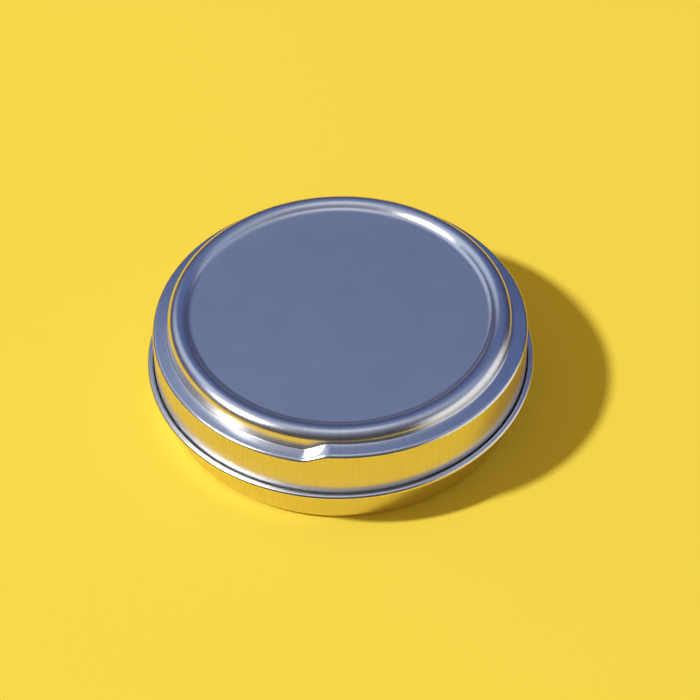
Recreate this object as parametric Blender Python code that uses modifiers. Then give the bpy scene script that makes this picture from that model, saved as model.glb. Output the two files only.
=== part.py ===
"""Round twist-off tin of bare sheet aluminium: a base, a lid and the sealing ring inside the lid.

Metres, +Z up. The tin stands on z = 0 with its axis on Z. Azimuths run counterclockwise from +X in
degrees, and the tin's front is at 270. The lid's shoulder has one raised stretch, and the base's shoulder
has the same stretch under it. Turned counterclockwise, the lid rides up the base's ramp and comes loose.
"""
import math

import bmesh
import bpy

# Sheet and clearances
sheet = 0.00030
seam_gap = 0.00030
turn_steps = 60
merge_distance = 0.00001

# Overall
total_height = 0.0235
skirt_radius = 0.0386

# Rolled edge at the foot of the lid's skirt
curl_overhang = 0.0015
curl_outer_radius = skirt_radius + curl_overhang
curl_roll_radius = 0.00064
curl_centre_height = 0.0099
curl_bend_radius = 0.00030
curl_roll_angle = 270.0

# Lid, sizes of its outside face
crest_above_shoulder = 0.0045
shoulder_outer_height = total_height - crest_above_shoulder
shoulder_fall = 0.00025
shoulder_corner_radius = 0.0007
shoulder_foot_radius = 0.0003
riser_lean = 8.0
bead_crest_inset = 0.00545
bead_crest_radius = skirt_radius - bead_crest_inset
bead_outer_round = 0.00225
bead_inner_round = 0.00255
bead_slope_angle = 40.0
panel_depth = 0.0011
panel_fillet = 0.0016

# Raised stretch of both shoulders: a steep ramp, a long even fall and a last drop, in degrees of azimuth
cam_start = 256.9
cam_ramp_length = 9.5
cam_fall_length = 97.0
cam_drop_length = 24.0
cam_height = 0.00195
cam_end_height = 0.0008

# Base, sizes of its outside face
wall_low_inset = 0.0022
wall_low_radius = skirt_radius - wall_low_inset
foot_ring_width = 0.0064
foot_inner_radius = wall_low_radius - foot_ring_width
foot_panel_rise = 0.0008
foot_panel_bend = 0.0008
foot_corner_radius = 0.0020
wall_top_height = curl_centre_height
wall_bend_radius = 0.0040
base_corner_radius = 0.0006
neck_foot_radius = 0.0004
rim_roll_radius = 0.00065
rim_roll_angle = 180.0

# Sealing ring in the lid's bead
ring_width = 0.0008
ring_thickness = 0.0004
ring_offset = 0.0005
ring_gap = 0.0006

# Arc segments
arc_step = 38.0


def clean_scene():
    for thing in list(bpy.data.objects):
        bpy.data.objects.remove(thing, do_unlink=True)


def collection_named(name):
    group = bpy.data.collections.new(name)
    bpy.context.scene.collection.children.link(group)
    return group


def metal(name, colour, roughness, metallic):
    material = bpy.data.materials.new(name)
    material.use_nodes = True
    shader = material.node_tree.nodes["Principled BSDF"]
    shader.inputs["Base Color"].default_value = colour
    shader.inputs["Roughness"].default_value = roughness
    shader.inputs["Metallic"].default_value = metallic
    return material


def arc(centre, radius, start, turn):
    """Points on an arc from the start angle through the turn, in degrees, both ends included."""
    count = max(2, math.ceil(abs(turn) / arc_step))
    points = []
    for step in range(count + 1):
        angle = math.radians(start + turn * step / count)
        points.append((centre[0] + radius * math.cos(angle), centre[1] + radius * math.sin(angle)))
    return points


def rounded(before, corner, after, radius):
    """The arc that rounds a corner between two neighbouring points of an outline."""
    into = math.atan2(corner[1] - before[1], corner[0] - before[0])
    out = math.atan2(after[1] - corner[1], after[0] - corner[0])
    turn = math.remainder(out - into, math.tau)
    side = math.copysign(1.0, turn)
    back = radius * math.tan(abs(turn) / 2)
    start = (corner[0] - back * math.cos(into), corner[1] - back * math.sin(into))
    centre = (start[0] - side * radius * math.sin(into), start[1] + side * radius * math.cos(into))
    start_angle = math.degrees(into) - side * 90.0
    return arc(centre, radius, start_angle, math.degrees(turn))


def outline_through(corners):
    """An outline of points (radius, height, rounding), its inner corners rounded."""
    points = [corners[0][:2]]
    for before, corner, after in zip(corners, corners[1:], corners[2:]):
        if corner[2] > 0:
            points += rounded(before, corner, after, corner[2])
        else:
            points.append(corner[:2])
    points.append(corners[-1][:2])
    return points


def smooth(share):
    """Eases from 0 to 1 with level ends."""
    share = min(max(share, 0.0), 1.0)
    return share * share * (3.0 - 2.0 * share)


def cam_rise(azimuth):
    """How far the shoulder stands above its low level at an azimuth in degrees."""
    along = (azimuth - cam_start) % 360.0
    if along < cam_ramp_length:
        return cam_height * smooth(along / cam_ramp_length)
    fallen_share = (along - cam_ramp_length) / cam_fall_length
    if fallen_share < 1:
        return cam_height + (cam_end_height - cam_height) * fallen_share
    dropped_share = (along - cam_ramp_length - cam_fall_length) / cam_drop_length
    return cam_end_height * max(0.0, 1.0 - dropped_share)


def turned_surface(name, outline):
    """The surface that an outline of (radius, height) points sweeps around Z, as one mesh."""
    mesh = bpy.data.meshes.new(name)
    edges = [(index, index + 1) for index in range(len(outline) - 1)]
    mesh.from_pydata([(radius, 0.0, height) for radius, height in outline], edges, [])
    profile = bpy.data.objects.new(name, mesh)
    bpy.context.scene.collection.objects.link(profile)
    screw = profile.modifiers.new("Screw", "SCREW")
    screw.axis = "Z"
    screw.angle = math.tau
    screw.steps = turn_steps
    screw.render_steps = turn_steps
    screw.use_merge_vertices = True
    screw.merge_threshold = merge_distance
    screw.use_smooth_shade = True
    graph = bpy.context.evaluated_depsgraph_get()
    surface = bpy.data.meshes.new_from_object(profile.evaluated_get(graph))
    bpy.data.objects.remove(profile, do_unlink=True)
    return surface


def raise_shoulder(surface, lowest, highest, foot_radius, edge_radius, lean):
    """Lifts a turned surface's shoulder by the raised stretch, its foot following the leaning riser."""
    for vertex in surface.vertices:
        if lowest < vertex.co.z < highest:
            rise = cam_rise(math.degrees(math.atan2(vertex.co.y, vertex.co.x)))
            radius = vertex.co.xy.length
            foot_share = min(max((edge_radius - radius) / (edge_radius - foot_radius), 0.0), 1.0)
            draw_in = foot_share * rise * math.tan(math.radians(lean))
            vertex.co.xy -= vertex.co.xy.normalized() * draw_in
            vertex.co.z += rise


def shell(name, surface, thickness, material, group):
    """An object whose sheet lies inside its outside surface."""
    piece = bpy.data.objects.new(name, surface)
    group.objects.link(piece)
    surface.materials.clear()
    surface.materials.append(material)
    solidify = piece.modifiers.new("Solidify", "SOLIDIFY")
    solidify.thickness = thickness
    solidify.offset = -1.0
    solidify.use_even_offset = True
    solidify.use_quality_normals = True
    return piece


def riser_top():
    """Where the bead's outer round runs into the leaning riser, as a radius and a height."""
    lean = math.radians(riser_lean)
    radius = bead_crest_radius + bead_outer_round * math.cos(lean)
    height = total_height - bead_outer_round + bead_outer_round * math.sin(lean)
    return radius, height


def riser_foot():
    """Where the riser's line meets the low level of the shoulder, as a radius and a height."""
    radius, top = riser_top()
    height = shoulder_outer_height + shoulder_fall
    return radius + (top - height) * math.tan(math.radians(riser_lean)), height


def neck_radius():
    """The outside of the base's neck, which clears the inside of the lid's bead."""
    return riser_top()[0] - sheet - seam_gap


def lid_outline():
    """The lid's outside face, from the middle of its panel over the bead and down to the rolled edge."""
    slope = math.radians(bead_slope_angle)
    # The slope's line, tangent to the bead's inner round
    round_centre = (bead_crest_radius, total_height - bead_inner_round)
    leave = (round_centre[0] - bead_inner_round * math.sin(slope),
             round_centre[1] + bead_inner_round * math.cos(slope))
    panel_height = total_height - panel_depth
    drop = leave[1] - panel_height
    meet = (leave[0] - drop / math.tan(slope), panel_height)
    points = outline_through([(0.0, panel_height, 0.0), (*meet, panel_fillet), (*leave, 0.0)])
    points += arc(round_centre, bead_inner_round, 90.0 + bead_slope_angle, -bead_slope_angle)[1:]
    outer_centre = (bead_crest_radius, total_height - bead_outer_round)
    points += arc(outer_centre, bead_outer_round, 90.0, riser_lean - 90.0)[1:]

    roll_centre = curl_outer_radius - curl_roll_radius
    roll_inside = curl_roll_radius - sheet
    skirt_foot = curl_centre_height - roll_inside
    points += outline_through([
        (*riser_top(), 0.0),
        (*riser_foot(), shoulder_foot_radius),
        (skirt_radius, shoulder_outer_height, shoulder_corner_radius),
        (skirt_radius, skirt_foot, curl_bend_radius),
        (roll_centre, skirt_foot, 0.0),
    ])[1:]
    points += arc((roll_centre, curl_centre_height), roll_inside, -90.0, curl_roll_angle)[1:]
    return points


def base_outline():
    """The base's outside face, from the rolled mouth down neck, shoulder and wall to the floor's middle."""
    step_in = sheet + seam_gap
    neck = neck_radius()
    upper_wall = skirt_radius - step_in
    shoulder = shoulder_outer_height - step_in
    rim_top = rim_height()
    points = arc((neck - rim_roll_radius, rim_top - rim_roll_radius), rim_roll_radius, rim_roll_angle,
                 -rim_roll_angle)
    points += outline_through([
        (neck, rim_top - rim_roll_radius, 0.0),
        (neck, shoulder + shoulder_fall, neck_foot_radius),
        (upper_wall, shoulder, base_corner_radius),
        (upper_wall, wall_top_height, wall_bend_radius),
        (wall_low_radius, 0.0, foot_corner_radius),
        (foot_inner_radius, 0.0, foot_panel_bend),
        (foot_inner_radius - foot_panel_bend, foot_panel_rise, foot_panel_bend),
        (0.0, foot_panel_rise, 0.0),
    ])[1:]
    return points


def ring_top():
    """The sealing ring's upper face, just under the inside of the lid's bead."""
    return total_height - sheet - ring_gap


def rim_height():
    """The top of the base's rolled mouth, just under the sealing ring."""
    return ring_top() - ring_thickness - seam_gap


def make_lid(group):
    material = metal("lid_aluminium", (0.80, 0.81, 0.83, 1.0), 0.28, 1.0)
    surface = turned_surface("lid_shell", lid_outline())
    foot_radius, foot_height = riser_foot()
    corner_bottom = shoulder_outer_height - shoulder_corner_radius
    foot_top = foot_height + shoulder_foot_radius
    raise_shoulder(surface, corner_bottom - sheet / 2, foot_top, foot_radius, skirt_radius, riser_lean)
    return shell("lid_shell", surface, sheet, material, group)


def make_base(group):
    material = metal("base_aluminium", (0.80, 0.81, 0.83, 1.0), 0.30, 1.0)
    surface = turned_surface("base_shell", base_outline())
    step_in = sheet + seam_gap
    foot_top = shoulder_outer_height + shoulder_fall - step_in + neck_foot_radius
    corner_bottom = shoulder_outer_height - step_in - base_corner_radius
    highest = foot_top + sheet / 2
    raise_shoulder(surface, corner_bottom - sheet / 2, highest, neck_radius(), skirt_radius - step_in, 0.0)
    return shell("base_shell", surface, sheet, material, group)


def make_ring(group):
    """The ring of sealing compound under the bead, where the base's rolled mouth presses."""
    material = metal("sealing_compound", (0.74, 0.73, 0.68, 1.0), 0.65, 0.0)
    middle = bead_crest_radius + ring_offset
    outer = middle + ring_width / 2
    inner = middle - ring_width / 2
    top = ring_top()
    bottom = top - ring_thickness
    corners = [(inner, top), (outer, top), (outer, bottom), (inner, bottom), (inner, top)]
    surface = turned_surface("lid_seal", corners)
    ring = bpy.data.objects.new("lid_seal", surface)
    group.objects.link(ring)
    surface.materials.clear()
    surface.materials.append(material)
    # The section's two ends meet, so the seam is welded
    shape = bmesh.new()
    shape.from_mesh(surface)
    bmesh.ops.remove_doubles(shape, verts=shape.verts, dist=merge_distance)
    shape.to_mesh(surface)
    shape.free()
    return ring


def build():
    clean_scene()
    group = collection_named("round_tin")
    make_base(group)
    make_lid(group)
    make_ring(group)


build()
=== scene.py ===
"""The looks of a low round aluminium tin with a twist-off lid, on a plain floor in soft studio light."""

import math

import bmesh
import bpy
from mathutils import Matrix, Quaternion, Vector


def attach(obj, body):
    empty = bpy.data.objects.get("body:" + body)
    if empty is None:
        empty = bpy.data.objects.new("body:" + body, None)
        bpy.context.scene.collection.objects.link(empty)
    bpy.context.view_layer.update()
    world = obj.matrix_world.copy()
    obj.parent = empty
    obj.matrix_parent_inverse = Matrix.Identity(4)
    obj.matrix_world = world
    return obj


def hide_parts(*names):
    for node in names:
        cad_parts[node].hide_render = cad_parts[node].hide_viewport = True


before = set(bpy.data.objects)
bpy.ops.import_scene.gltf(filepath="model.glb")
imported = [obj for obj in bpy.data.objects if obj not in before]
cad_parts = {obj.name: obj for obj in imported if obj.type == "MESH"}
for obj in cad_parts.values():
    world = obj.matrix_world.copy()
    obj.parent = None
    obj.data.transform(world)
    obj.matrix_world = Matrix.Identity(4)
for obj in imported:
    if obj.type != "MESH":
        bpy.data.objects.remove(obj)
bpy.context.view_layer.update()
mm = 0.001

# The base is one drawn aluminium dish. Its wall widens upwards into the lid, takes the shoulder that
# the lid's shoulder rests on, draws in to a neck, and ends in a mouth that is rolled inwards.
sheet = 0.3 * mm
play = 0.3 * mm
tin_height = 23.5 * mm
rolled_edge_height = 9.9 * mm
skirt_radius = 38.6 * mm
shoulder_height = 19.0 * mm
shoulder_fall = 0.25 * mm
bead_crest_radius = 33.15 * mm
bead_outer_round = 2.25 * mm
riser_lean = math.radians(8.0)
seal_thickness = 0.4 * mm
seal_play = 0.6 * mm
mouth_roll = 0.65 * mm
standing_radius = 36.4 * mm
dish_radius = 30.0 * mm
dish_rise = 0.8 * mm
neck_bend = 0.4 * mm
shoulder_bend = 0.6 * mm
wall_bend = 4.0 * mm
foot_bend = 2.0 * mm
dish_bend = 0.8 * mm
base_shoulder_reach = 0.7 * mm

rise_start = 256.9
rise_length = 9.5
rise_height = 1.95 * mm
fall_length = 97.0
drop_length = 24.0
drop_height = 0.8 * mm

nest = sheet + play
mouth_height = tin_height - sheet - seal_play - seal_thickness - play
riser_top_radius = bead_crest_radius + bead_outer_round * math.cos(riser_lean)
neck_radius = riser_top_radius - nest
mouth_centre = (neck_radius - mouth_roll, mouth_height - mouth_roll)
hidden_wall_radius = skirt_radius - nest
hidden_shoulder_height = shoulder_height - nest
steps_round_tin = 360
weld = 0.01 * mm


def start_section(radius, height):
    """A sheet's section as a chain of edges at +X, begun with one point."""
    section = bmesh.new()
    return section, section.verts.new((radius, 0.0, height))


def draw_to(section, tip, radius, height):
    """Draws the section straight on to a radius and height."""
    tip = bmesh.ops.extrude_vert_indiv(section, verts=[tip])["verts"][0]
    tip.co = (radius, 0.0, height)
    return tip


def roll_on(section, tip, centre, turn, steps):
    """Rolls the section on around a centre, clockwise for a positive turn in degrees."""
    rolled = bmesh.ops.spin(
        section,
        geom=[tip],
        cent=(centre[0], 0.0, centre[1]),
        axis=(0.0, 1.0, 0.0),
        angle=math.radians(turn),
        steps=steps,
    )
    return next(part for part in rolled["geom_last"] if isinstance(part, bmesh.types.BMVert))


def ease(section, corner, radius, steps=8):
    """Rounds a drawn corner of the section to a bend radius."""
    ends = [edge.other_vert(corner).co - corner.co for edge in corner.link_edges]
    turn = math.pi - ends[0].angle(ends[1])
    bmesh.ops.bevel(
        section,
        geom=[corner],
        offset=radius * math.tan(turn / 2),
        offset_type="OFFSET",
        segments=steps,
        profile=0.5,
        affect="VERTICES",
        material=-1,
    )


def spin_round(section, middle_faces=0):
    """Spins the section a full lap around the tin's axis.

    A sheet that covers the axis is told whether its middle faces up (1) or down (-1).
    """
    bmesh.ops.spin(
        section,
        geom=section.verts[:] + section.edges[:],
        cent=(0.0, 0.0, 0.0),
        axis=(0.0, 0.0, 1.0),
        angle=math.tau,
        steps=steps_round_tin,
        use_merge=True,
    )
    bmesh.ops.remove_doubles(section, verts=section.verts, dist=weld)
    bmesh.ops.recalc_face_normals(section, faces=section.faces)
    middle = min(section.faces, key=lambda face: face.calc_center_median().xy.length)
    if middle.normal.z * middle_faces < 0:
        bmesh.ops.reverse_faces(section, faces=section.faces)


def eased(share):
    """Runs from 0 to 1 with soft ends."""
    share = min(max(share, 0.0), 1.0)
    return share * share * (3.0 - 2.0 * share)


def shoulder_rise(azimuth):
    """The height of the shoulder's raised stretch: a steep rise, a long even fall and a last drop.

    Its start and its lengths are angles in degrees, counterclockwise from +X.
    """
    along = (azimuth - rise_start) % 360.0
    if along < rise_length:
        return rise_height * eased(along / rise_length)
    if along < rise_length + fall_length:
        return rise_height + (drop_height - rise_height) * (along - rise_length) / fall_length
    return drop_height * max(0.0, 1.0 - (along - rise_length - fall_length) / drop_length)


def press_shoulder(skin, heights, radii, lean):
    """Presses the raised stretch into the shoulder, which lies between two heights and two radii.

    The shoulder's inner edge is drawn in as it rises, to stay on a wall that leans.
    """
    for vertex in skin.verts:
        if heights[0] < vertex.co.z < heights[1]:
            rise = shoulder_rise(math.degrees(math.atan2(vertex.co.y, vertex.co.x)))
            radius = vertex.co.xy.length
            inner_share = min(max((radii[1] - radius) / (radii[1] - radii[0]), 0.0), 1.0)
            vertex.co.xy *= 1.0 - inner_share * rise * math.tan(lean) / radius
            vertex.co.z += rise


def make_piece(name, shape, materials):
    """Turns a finished shape into a smooth piece that sits at the origin."""
    mesh = bpy.data.meshes.new(name)
    shape.to_mesh(mesh)
    shape.free()
    mesh.shade_smooth()
    for material in materials:
        mesh.materials.append(material)
    piece = bpy.data.objects.new(name, mesh)
    bpy.context.scene.collection.objects.link(piece)
    return piece


def make_sheet(name, skin, materials):
    """Turns a skin into a piece of sheet, its thickness inside the skin."""
    piece = make_piece(name, skin, materials)
    wall = piece.modifiers.new("wall", "SOLIDIFY")
    wall.thickness = sheet
    wall.offset = -1.0
    wall.use_even_offset = True
    wall.use_quality_normals = True
    flats = piece.modifiers.new("flats", "WEIGHTED_NORMAL")
    flats.weight = 50
    return piece


def add_node(tree, kind, inputs=None, **settings):
    """Adds a shader node. An input is given as a value or as the socket that feeds it."""
    node = tree.nodes.new(kind)
    for setting, value in settings.items():
        setattr(node, setting, value)
    for socket, value in (inputs or {}).items():
        if isinstance(value, bpy.types.NodeSocket):
            tree.links.new(value, node.inputs[socket])
        else:
            node.inputs[socket].default_value = value
    return node


def make_draw_lines():
    """Fine lines that the die leaves: upright on a wall, pointing at the axis on a shoulder or bead."""
    group = bpy.data.node_groups.new("draw_lines", "ShaderNodeTree")
    group.interface.new_socket("Lines Round", in_out="INPUT", socket_type="NodeSocketFloat")
    group.interface.new_socket("Drift", in_out="INPUT", socket_type="NodeSocketFloat")
    group.interface.new_socket("Lines", in_out="OUTPUT", socket_type="NodeSocketFloat")
    group.interface.new_socket("Streaks", in_out="OUTPUT", socket_type="NodeSocketFloat")
    given = group.nodes.new("NodeGroupInput")
    put_out = group.nodes.new("NodeGroupOutput")
    place = add_node(group, "ShaderNodeTexCoord")
    flat = add_node(group, "ShaderNodeVectorMath", {0: place.outputs["Object"], 1: (1.0, 1.0, 0.0)},
                    operation="MULTIPLY")
    ray = add_node(group, "ShaderNodeVectorMath", {0: flat.outputs[0]}, operation="NORMALIZE")
    round_lap = add_node(group, "ShaderNodeVectorMath",
                         {0: ray.outputs[0], "Scale": given.outputs["Lines Round"]}, operation="SCALE")
    drift = add_node(group, "ShaderNodeVectorMath",
                     {0: place.outputs["Object"], "Scale": given.outputs["Drift"]}, operation="SCALE")
    walk = add_node(group, "ShaderNodeVectorMath", {0: round_lap.outputs[0], 1: drift.outputs[0]},
                    operation="ADD")
    lines = add_node(group, "ShaderNodeTexNoise",
                     {"Vector": walk.outputs[0], "Scale": 1.0, "Detail": 2.0, "Roughness": 0.6})
    streaks = add_node(group, "ShaderNodeTexNoise",
                       {"Vector": walk.outputs[0], "Scale": 0.35, "Detail": 2.0, "Roughness": 0.5})
    group.links.new(lines.outputs["Fac"], put_out.inputs["Lines"])
    group.links.new(streaks.outputs["Fac"], put_out.inputs["Streaks"])
    return group


def start_material(name):
    """Starts a material, and gives back its nodes and its surface shader with it."""
    material = bpy.data.materials.new(name)
    material.use_nodes = True
    return material, material.node_tree, material.node_tree.nodes["Principled BSDF"]


def map_noise(tree, noise, low, high):
    """Spreads a noise, which stays mostly between 0.3 and 0.7, over the values from low to high."""
    mapped = add_node(tree, "ShaderNodeMapRange",
                      {"Value": noise, "From Min": 0.3, "From Max": 0.7, "To Min": low, "To Max": high})
    return mapped.outputs[0]


def feed_metal(tree, shader, tone, gloss, relief_height, relief_depth):
    """Feeds a shader the grey tone, the roughness and the relief of bare metal."""
    colour = add_node(tree, "ShaderNodeCombineColor", {"Red": tone, "Green": tone, "Blue": tone})
    relief = add_node(tree, "ShaderNodeBump",
                      {"Height": relief_height, "Distance": relief_depth, "Strength": 1.0})
    shader.inputs["Metallic"].default_value = 1.0
    tree.links.new(colour.outputs[0], shader.inputs["Base Color"])
    tree.links.new(gloss, shader.inputs["Roughness"])
    tree.links.new(relief.outputs[0], shader.inputs["Normal"])


draw_lines = make_draw_lines()
streak_contrast = 0.06
gloss_spread = 0.03


def make_drawn_aluminium(name, tone_low, roughness, smear, smear_turn, line_depth):
    """Bare aluminium that has been through a die: bright, with fine lines and faint streaks.

    Its highlights smear along the tin's girth, or across it when the smear is turned by a quarter.
    """
    material, tree, shader = start_material(name)
    shader.inputs["Anisotropic"].default_value = smear
    shader.inputs["Anisotropic Rotation"].default_value = smear_turn
    girth = add_node(tree, "ShaderNodeTangent", direction_type="RADIAL", axis="Z")
    tree.links.new(girth.outputs[0], shader.inputs["Tangent"])
    lines = add_node(tree, "ShaderNodeGroup", {"Lines Round": 230.0, "Drift": 500.0}, node_tree=draw_lines)
    tone = map_noise(tree, lines.outputs["Streaks"], tone_low, tone_low + streak_contrast)
    gloss = map_noise(tree, lines.outputs["Lines"], roughness - gloss_spread, roughness + gloss_spread)
    feed_metal(tree, shader, tone, gloss, lines.outputs["Lines"], line_depth)
    return material


drawn_aluminium = make_drawn_aluminium(
    "drawn_aluminium", tone_low=0.74, roughness=0.32, smear=0.4, smear_turn=0.0, line_depth=0.002 * mm
)

base_section, tip = start_section(neck_radius - 2 * mouth_roll, mouth_centre[1])
tip = roll_on(base_section, tip, mouth_centre, turn=180.0, steps=16)
neck_foot = draw_to(base_section, tip, neck_radius, shoulder_height + shoulder_fall - nest)
shoulder_edge = draw_to(base_section, neck_foot, hidden_wall_radius, hidden_shoulder_height)
wall_corner = draw_to(base_section, shoulder_edge, hidden_wall_radius, rolled_edge_height)
foot_corner = draw_to(base_section, wall_corner, standing_radius, 0.0)
dish_edge = draw_to(base_section, foot_corner, dish_radius, 0.0)
dish_top = draw_to(base_section, dish_edge, dish_radius - dish_rise, dish_rise)
draw_to(base_section, dish_top, 0.0, dish_rise)
ease(base_section, neck_foot, neck_bend)
ease(base_section, shoulder_edge, shoulder_bend)
ease(base_section, wall_corner, wall_bend)
ease(base_section, foot_corner, foot_bend, steps=12)
ease(base_section, dish_edge, dish_bend)
ease(base_section, dish_top, dish_bend)
spin_round(base_section, middle_faces=-1)
base_shoulder = (hidden_shoulder_height - base_shoulder_reach, hidden_shoulder_height + base_shoulder_reach)
press_shoulder(base_section, base_shoulder, (neck_radius, hidden_wall_radius), lean=0.0)
base = make_sheet("base", base_section, [drawn_aluminium])
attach(base, "base")
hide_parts("base_shell")

# The seal is a thin ring of sealing compound, run into the channel under the lid's bead, where the
# base's rolled mouth presses on it.
seal_width = 0.8 * mm
seal_offset = 0.5 * mm
seal_bend = 0.12 * mm
compound_relief = 0.03 * mm
compound_dark = (0.68, 0.67, 0.61, 1.0)
compound_light = (0.80, 0.79, 0.75, 1.0)

seal_top = tin_height - sheet - seal_play
seal_foot = seal_top - seal_thickness
seal_middle = bead_crest_radius + seal_offset
seal_inner = seal_middle - seal_width / 2
seal_outer = seal_middle + seal_width / 2


def make_sealing_compound():
    """Off-white compound with a dull, slightly uneven face."""
    material, tree, shader = start_material("sealing_compound")
    shader.inputs["Roughness"].default_value = 0.6
    place = add_node(tree, "ShaderNodeTexCoord")
    mottle = add_node(tree, "ShaderNodeTexNoise",
                      {"Vector": place.outputs["Object"], "Scale": 900.0, "Detail": 3.0})
    tone = add_node(tree, "ShaderNodeMix",
                    {"Factor": mottle.outputs["Fac"], "A": compound_dark, "B": compound_light},
                    data_type="RGBA")
    relief = add_node(tree, "ShaderNodeBump",
                      {"Height": mottle.outputs["Fac"], "Distance": compound_relief, "Strength": 1.0})
    tree.links.new(tone.outputs["Result"], shader.inputs["Base Color"])
    tree.links.new(relief.outputs[0], shader.inputs["Normal"])
    return material


seal_section, seal_start = start_section(seal_inner, seal_top)
tip = seal_start
for radius, height in ((seal_outer, seal_top), (seal_outer, seal_foot), (seal_inner, seal_foot)):
    tip = draw_to(seal_section, tip, radius, height)
seal_section.edges.new((tip, seal_start))
for corner in seal_section.verts[:]:
    ease(seal_section, corner, seal_bend, steps=4)
spin_round(seal_section)
seal = make_piece("seal", seal_section, [make_sealing_compound()])
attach(seal, "seal")
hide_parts("lid_seal")

# The lid is one drawn aluminium sheet: a flat panel set a little lower than the rounded bead around it,
# a riser that leans in, the shoulder, a skirt, and an edge rolled outwards with a small gap left open.
edge_radius = 40.1 * mm
edge_roll = 0.64 * mm
panel_depth = 1.1 * mm
bead_inner_round = 2.55 * mm
bead_slope = math.radians(40.0)
panel_bend = 1.6 * mm
riser_bend = 0.3 * mm
corner_bend = 0.7 * mm
skirt_bend = 0.3 * mm
reach_below_shoulder = 0.9 * mm
reach_above_shoulder = 0.6 * mm

inner_round_centre = (bead_crest_radius, tin_height - bead_inner_round)
outer_round_centre = (bead_crest_radius, tin_height - bead_outer_round)
slope_top_radius = bead_crest_radius - bead_inner_round * math.sin(bead_slope)
slope_top_height = inner_round_centre[1] + bead_inner_round * math.cos(bead_slope)
panel_height = tin_height - panel_depth
panel_radius = slope_top_radius - (slope_top_height - panel_height) / math.tan(bead_slope)
riser_top_height = outer_round_centre[1] + bead_outer_round * math.sin(riser_lean)
riser_foot_height = shoulder_height + shoulder_fall
riser_foot_radius = riser_top_radius + (riser_top_height - riser_foot_height) * math.tan(riser_lean)
skirt_foot_height = rolled_edge_height - (edge_roll - sheet)
roll_centre = (edge_radius - edge_roll, rolled_edge_height)


def make_panel_aluminium():
    """The panel's flat sheet, satin from the rolling mill, with a very fine grain and faint clouds."""
    material, tree, shader = start_material("panel_aluminium")
    place = add_node(tree, "ShaderNodeTexCoord")
    grain = add_node(tree, "ShaderNodeTexNoise",
                     {"Vector": place.outputs["Object"], "Scale": 4500.0, "Detail": 2.0, "Roughness": 0.6})
    clouds = add_node(tree, "ShaderNodeTexNoise",
                      {"Vector": place.outputs["Object"], "Scale": 90.0, "Detail": 3.0, "Roughness": 0.5})
    tone = map_noise(tree, clouds.outputs["Fac"], low=0.80, high=0.84)
    gloss = map_noise(tree, grain.outputs["Fac"], low=0.30, high=0.38)
    feed_metal(tree, shader, tone, gloss, grain.outputs["Fac"], relief_depth=0.002 * mm)
    return material


rolled_aluminium = make_drawn_aluminium(
    "rolled_aluminium", tone_low=0.80, roughness=0.24, smear=0.35, smear_turn=0.25, line_depth=0.001 * mm
)
curled_aluminium = make_drawn_aluminium(
    "curled_aluminium", tone_low=0.80, roughness=0.21, smear=0.8, smear_turn=0.0, line_depth=0.0005 * mm
)
panel_aluminium = make_panel_aluminium()
lid_metals = [drawn_aluminium, panel_aluminium, rolled_aluminium, curled_aluminium]

lid_section, tip = start_section(0.0, panel_height)
panel_edge = draw_to(lid_section, tip, panel_radius, panel_height)
tip = draw_to(lid_section, panel_edge, slope_top_radius, slope_top_height)
tip = roll_on(lid_section, tip, inner_round_centre, turn=math.degrees(bead_slope), steps=8)
tip = roll_on(lid_section, tip, outer_round_centre, turn=90.0 - math.degrees(riser_lean), steps=14)
riser_foot = draw_to(lid_section, tip, riser_foot_radius, riser_foot_height)
lid_corner = draw_to(lid_section, riser_foot, skirt_radius, shoulder_height)
skirt_foot = draw_to(lid_section, lid_corner, skirt_radius, skirt_foot_height)
tip = draw_to(lid_section, skirt_foot, roll_centre[0], skirt_foot_height)
roll_on(lid_section, tip, roll_centre, turn=-270.0, steps=24)
ease(lid_section, panel_edge, panel_bend)
ease(lid_section, riser_foot, riser_bend)
ease(lid_section, lid_corner, corner_bend, steps=10)
ease(lid_section, skirt_foot, skirt_bend, steps=6)
spin_round(lid_section, middle_faces=1)
for face in lid_section.faces:
    centre = face.calc_center_median()
    if centre.z < rolled_edge_height + edge_roll:
        metal = curled_aluminium
    elif centre.z < shoulder_height - corner_bend:
        metal = drawn_aluminium
    elif centre.xy.length < panel_radius:
        metal = panel_aluminium
    else:
        metal = rolled_aluminium
    face.material_index = lid_metals.index(metal)
lid_shoulder = (shoulder_height - reach_below_shoulder, riser_foot_height + reach_above_shoulder)
press_shoulder(lid_section, lid_shoulder, (riser_foot_radius, skirt_radius), lean=riser_lean)
lid = make_sheet("lid", lid_section, lid_metals)
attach(lid, "lid")
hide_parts("lid_shell")

# The floor is a plain sheet of yellow card, wide enough to fill the picture and most side views. The
# metal mirrors it only up to an edge at the right and in front, and mirrors the room beyond that.
floor_width = 3.0
mirrored_right = 95.0 * mm
mirrored_front = 115.0 * mm
mirrored_fade = 12.0 * mm
card_yellow = (0.92, 0.735, 0.085, 1.0)
# Painted shade and bounce light: the deeper, warmer yellow of the floor beside the tin, where the tin keeps
# light off it and throws yellow back. It is given to all of the floor the metal mirrors.
mirrored_shaded_yellow = (0.93, 0.66, 0.055, 1.0)


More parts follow.
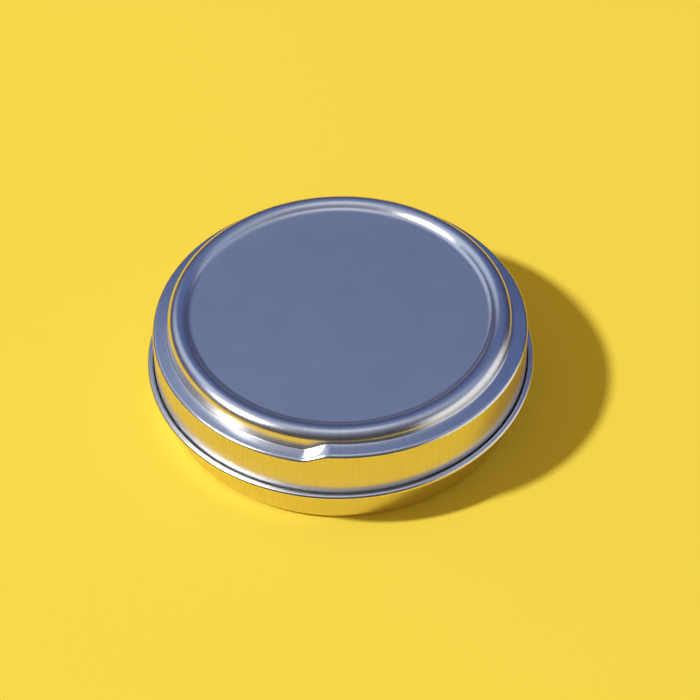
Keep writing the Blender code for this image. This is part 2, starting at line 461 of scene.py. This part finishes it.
def make_floor_card():
    """Pale yellow card, dull all over. The metal mirrors it in a deeper, warmer tone: painted shade and
    bounce light, the tone the floor takes beside the tin.
    """
    material, tree, shader = start_material("floor_card")
    shader.inputs["Roughness"].default_value = 0.9
    shader.inputs["Specular IOR Level"].default_value = 0.1
    mirrored = add_node(tree, "ShaderNodeLightPath").outputs["Is Glossy Ray"]
    # Glossy rays see the painted shade tone, and direct views see the card's own yellow.
    tone = add_node(tree, "ShaderNodeMix", {"Factor": mirrored, "A": card_yellow, "B": mirrored_shaded_yellow},
                    data_type="RGBA")
    place = add_node(tree, "ShaderNodeTexCoord")
    parts = add_node(tree, "ShaderNodeSeparateXYZ", {"Vector": place.outputs["Object"]})
    past_right = add_node(tree, "ShaderNodeMapRange",
                          {"Value": parts.outputs["X"], "From Min": mirrored_right - mirrored_fade,
                           "From Max": mirrored_right + mirrored_fade})
    past_front = add_node(tree, "ShaderNodeMapRange",
                          {"Value": parts.outputs["Y"], "From Min": mirrored_fade - mirrored_front,
                           "From Max": -mirrored_fade - mirrored_front})
    past_edge = add_node(tree, "ShaderNodeMath", {0: past_right.outputs[0], 1: past_front.outputs[0]},
                         operation="MAXIMUM")
    left_out = add_node(tree, "ShaderNodeMath", {0: past_edge.outputs[0], 1: mirrored},
                        operation="MULTIPLY")
    room_beyond = add_node(tree, "ShaderNodeBsdfTransparent")
    surface = add_node(tree, "ShaderNodeMixShader",
                       {0: left_out.outputs[0], 1: shader.outputs[0], 2: room_beyond.outputs[0]})
    tree.links.new(tone.outputs["Result"], shader.inputs["Base Color"])
    tree.links.new(surface.outputs[0], tree.nodes["Material Output"].inputs["Surface"])
    return material


floor_shape = bmesh.new()
bmesh.ops.create_grid(floor_shape, x_segments=1, y_segments=1, size=floor_width / 2)
floor = make_piece("floor", floor_shape, [make_floor_card()])

# The light is one round softbox high on the left. The room that the metal mirrors is pale overhead, slate
# blue behind the tin and dark in front, with soft glows at the left back and at the right, and a white
# card low on the right. The dull floor takes one warm light from it, its own colour thrown back.
lamp_azimuth = 196.1
lamp_elevation = 45.8
lamp_distance = 6.0
lamp_width = 0.50
lamp_power = 322.0
lamp_colour = (1.0, 0.99, 0.98)
card_side_softness = 9.0
card_top_softness = 11.0
white_card = (0.88, 0.90, 0.98, 1.0)
left_glow = (0.38, 0.42, 0.44, 1.0)
right_glow = (0.17, 0.18, 0.20, 1.0)
thrown_back = (0.36, 0.27, 0.14, 1.0)
pale_overhead = (0.68, 0.73, 0.87)


def towards(azimuth, elevation):
    """The direction of an azimuth and an elevation in degrees."""
    level = math.cos(math.radians(elevation))
    return Vector((
        math.cos(math.radians(azimuth)) * level,
        math.sin(math.radians(azimuth)) * level,
        math.sin(math.radians(elevation)),
    ))


lamp_data = bpy.data.lights.new("softbox", "AREA")
lamp_data.shape = "DISK"
lamp_data.size = lamp_width
lamp_data.energy = lamp_power
lamp_data.color = lamp_colour
lamp = bpy.data.objects.new("softbox", lamp_data)
bpy.context.scene.collection.objects.link(lamp)
lamp.location = towards(lamp_azimuth, lamp_elevation) * lamp_distance
lamp.rotation_mode = "QUATERNION"
lamp.rotation_quaternion = (-lamp.location).to_track_quat("-Z", "Y")


def add_glow(tree, way, under, direction, reach, glow):
    """Adds a soft glow to the room's colour around a direction, fading out at a reach in degrees."""
    nearness = add_node(tree, "ShaderNodeVectorMath", {0: way, 1: direction}, operation="DOT_PRODUCT")
    fade = add_node(tree, "ShaderNodeMapRange",
                    {"Value": nearness.outputs["Value"], "From Min": math.cos(math.radians(reach)),
                     "From Max": 1.0}, interpolation_type="SMOOTHSTEP")
    mixed = add_node(tree, "ShaderNodeMix", {"Factor": fade.outputs[0], "A": under, "B": glow},
                     data_type="RGBA", blend_type="ADD")
    return mixed.outputs["Result"]


def add_card(tree, way, rise, under, azimuth, half_width, top, tone):
    """Stands a card in the room, its width and its top given as angles seen from the tin."""
    level = add_node(tree, "ShaderNodeVectorMath", {0: way, 1: (1.0, 1.0, 0.0)}, operation="MULTIPLY")
    along = add_node(tree, "ShaderNodeVectorMath", {0: level.outputs[0]}, operation="NORMALIZE")
    nearness = add_node(tree, "ShaderNodeVectorMath", {0: along.outputs[0], 1: towards(azimuth, 0.0)},
                        operation="DOT_PRODUCT")
    across = add_node(tree, "ShaderNodeMapRange",
                      {"Value": nearness.outputs["Value"],
                       "From Min": math.cos(math.radians(half_width + card_side_softness)),
                       "From Max": math.cos(math.radians(half_width - card_side_softness))},
                      interpolation_type="SMOOTHSTEP")
    below_top = add_node(tree, "ShaderNodeMapRange",
                         {"Value": rise, "From Min": math.sin(math.radians(top + card_top_softness)),
                          "From Max": math.sin(math.radians(top - card_top_softness))},
                         interpolation_type="SMOOTHSTEP")
    share = add_node(tree, "ShaderNodeMath", {0: across.outputs[0], 1: below_top.outputs[0]},
                     operation="MULTIPLY")
    mixed = add_node(tree, "ShaderNodeMix", {"Factor": share.outputs[0], "A": under, "B": tone},
                     data_type="RGBA")
    return mixed.outputs["Result"]


def add_height_ramp(tree, rise, tones):
    """A run of room colours by height, each given with the sine of its elevation."""
    ramp = add_node(tree, "ShaderNodeValToRGB", {"Fac": rise})
    while len(ramp.color_ramp.elements) < len(tones):
        ramp.color_ramp.elements.new(1.0)
    for stop, (at, colour) in zip(ramp.color_ramp.elements, tones):
        stop.position = at
        stop.color = (*colour, 1.0)
    return ramp.outputs["Color"]


def make_room():
    """The room around the tin, in the colours that the metal mirrors and one that lights the floor."""
    room = bpy.data.worlds.new("room")
    room.use_nodes = True
    tree = room.node_tree
    way = add_node(tree, "ShaderNodeTexCoord").outputs["Generated"]
    parts = add_node(tree, "ShaderNodeSeparateXYZ", {"Vector": way})
    rise = parts.outputs["Z"]
    behind = add_height_ramp(tree, rise, (
        (0.0, (0.04, 0.04, 0.09)),
        (0.40, (0.07, 0.08, 0.18)),
        (0.71, (0.09, 0.138, 0.325)),
        (0.94, (0.21, 0.25, 0.39)),
        (1.0, pale_overhead),
    ))
    in_front = add_height_ramp(tree, rise, (
        (0.0, (0.045, 0.045, 0.045)),
        (0.40, (0.06, 0.06, 0.075)),
        (0.71, (0.12, 0.13, 0.18)),
        (0.94, (0.25, 0.27, 0.36)),
        (1.0, pale_overhead),
    ))
    front_share = add_node(tree, "ShaderNodeMapRange",
                           {"Value": parts.outputs["Y"], "From Min": 0.2, "From Max": -0.3},
                           interpolation_type="SMOOTHSTEP")
    walls = add_node(tree, "ShaderNodeMix",
                     {"Factor": front_share.outputs[0], "A": behind, "B": in_front}, data_type="RGBA")
    colour = add_glow(tree, way, walls.outputs["Result"], towards(136.0, 45.0), reach=26.0, glow=left_glow)
    colour = add_glow(tree, way, colour, towards(5.0, 52.0), reach=30.0, glow=right_glow)
    colour = add_card(tree, way, rise, colour, azimuth=351.0, half_width=32.0, top=29.0, tone=white_card)
    ray = add_node(tree, "ShaderNodeLightPath")
    seen = add_node(tree, "ShaderNodeMix",
                    {"Factor": ray.outputs["Is Diffuse Ray"], "A": colour, "B": thrown_back},
                    data_type="RGBA")
    tree.links.new(seen.outputs["Result"], tree.nodes["Background"].inputs["Color"])
    return room


bpy.context.scene.world = make_room()
bpy.context.scene.view_settings.view_transform = "Standard"

# The camera stands in front of the tin and looks down at it through a long lens. It leans a little, and
# aims a little to the right of the tin's axis and behind it.
camera_distance = 0.64
camera_elevation = math.radians(45.76)
camera_lean = math.radians(-0.945)
camera_lens = 158.45
camera_sensor_width = 36.0
nearest_seen = 10.0 * mm
aim_height = 10.6 * mm
aim_to_right = 1.99 * mm
aim_to_back = 0.82 * mm

axis_point = Vector((0.0, 0.0, aim_height))
aim_point = axis_point + Vector((aim_to_right, aim_to_back, 0.0))
way_to_camera = Vector((0.0, -math.cos(camera_elevation), math.sin(camera_elevation)))

camera_data = bpy.data.cameras.new("camera")
camera_data.sensor_width = camera_sensor_width
camera_data.lens = camera_lens
camera_data.clip_start = nearest_seen
camera = bpy.data.objects.new("camera", camera_data)
bpy.context.scene.collection.objects.link(camera)
camera.location = axis_point + camera_distance * way_to_camera
camera.rotation_mode = "QUATERNION"
looking = (aim_point - camera.location).to_track_quat("-Z", "Y")
camera.rotation_quaternion = looking @ Quaternion((0.0, 0.0, 1.0), camera_lean)
bpy.context.scene.camera = camera
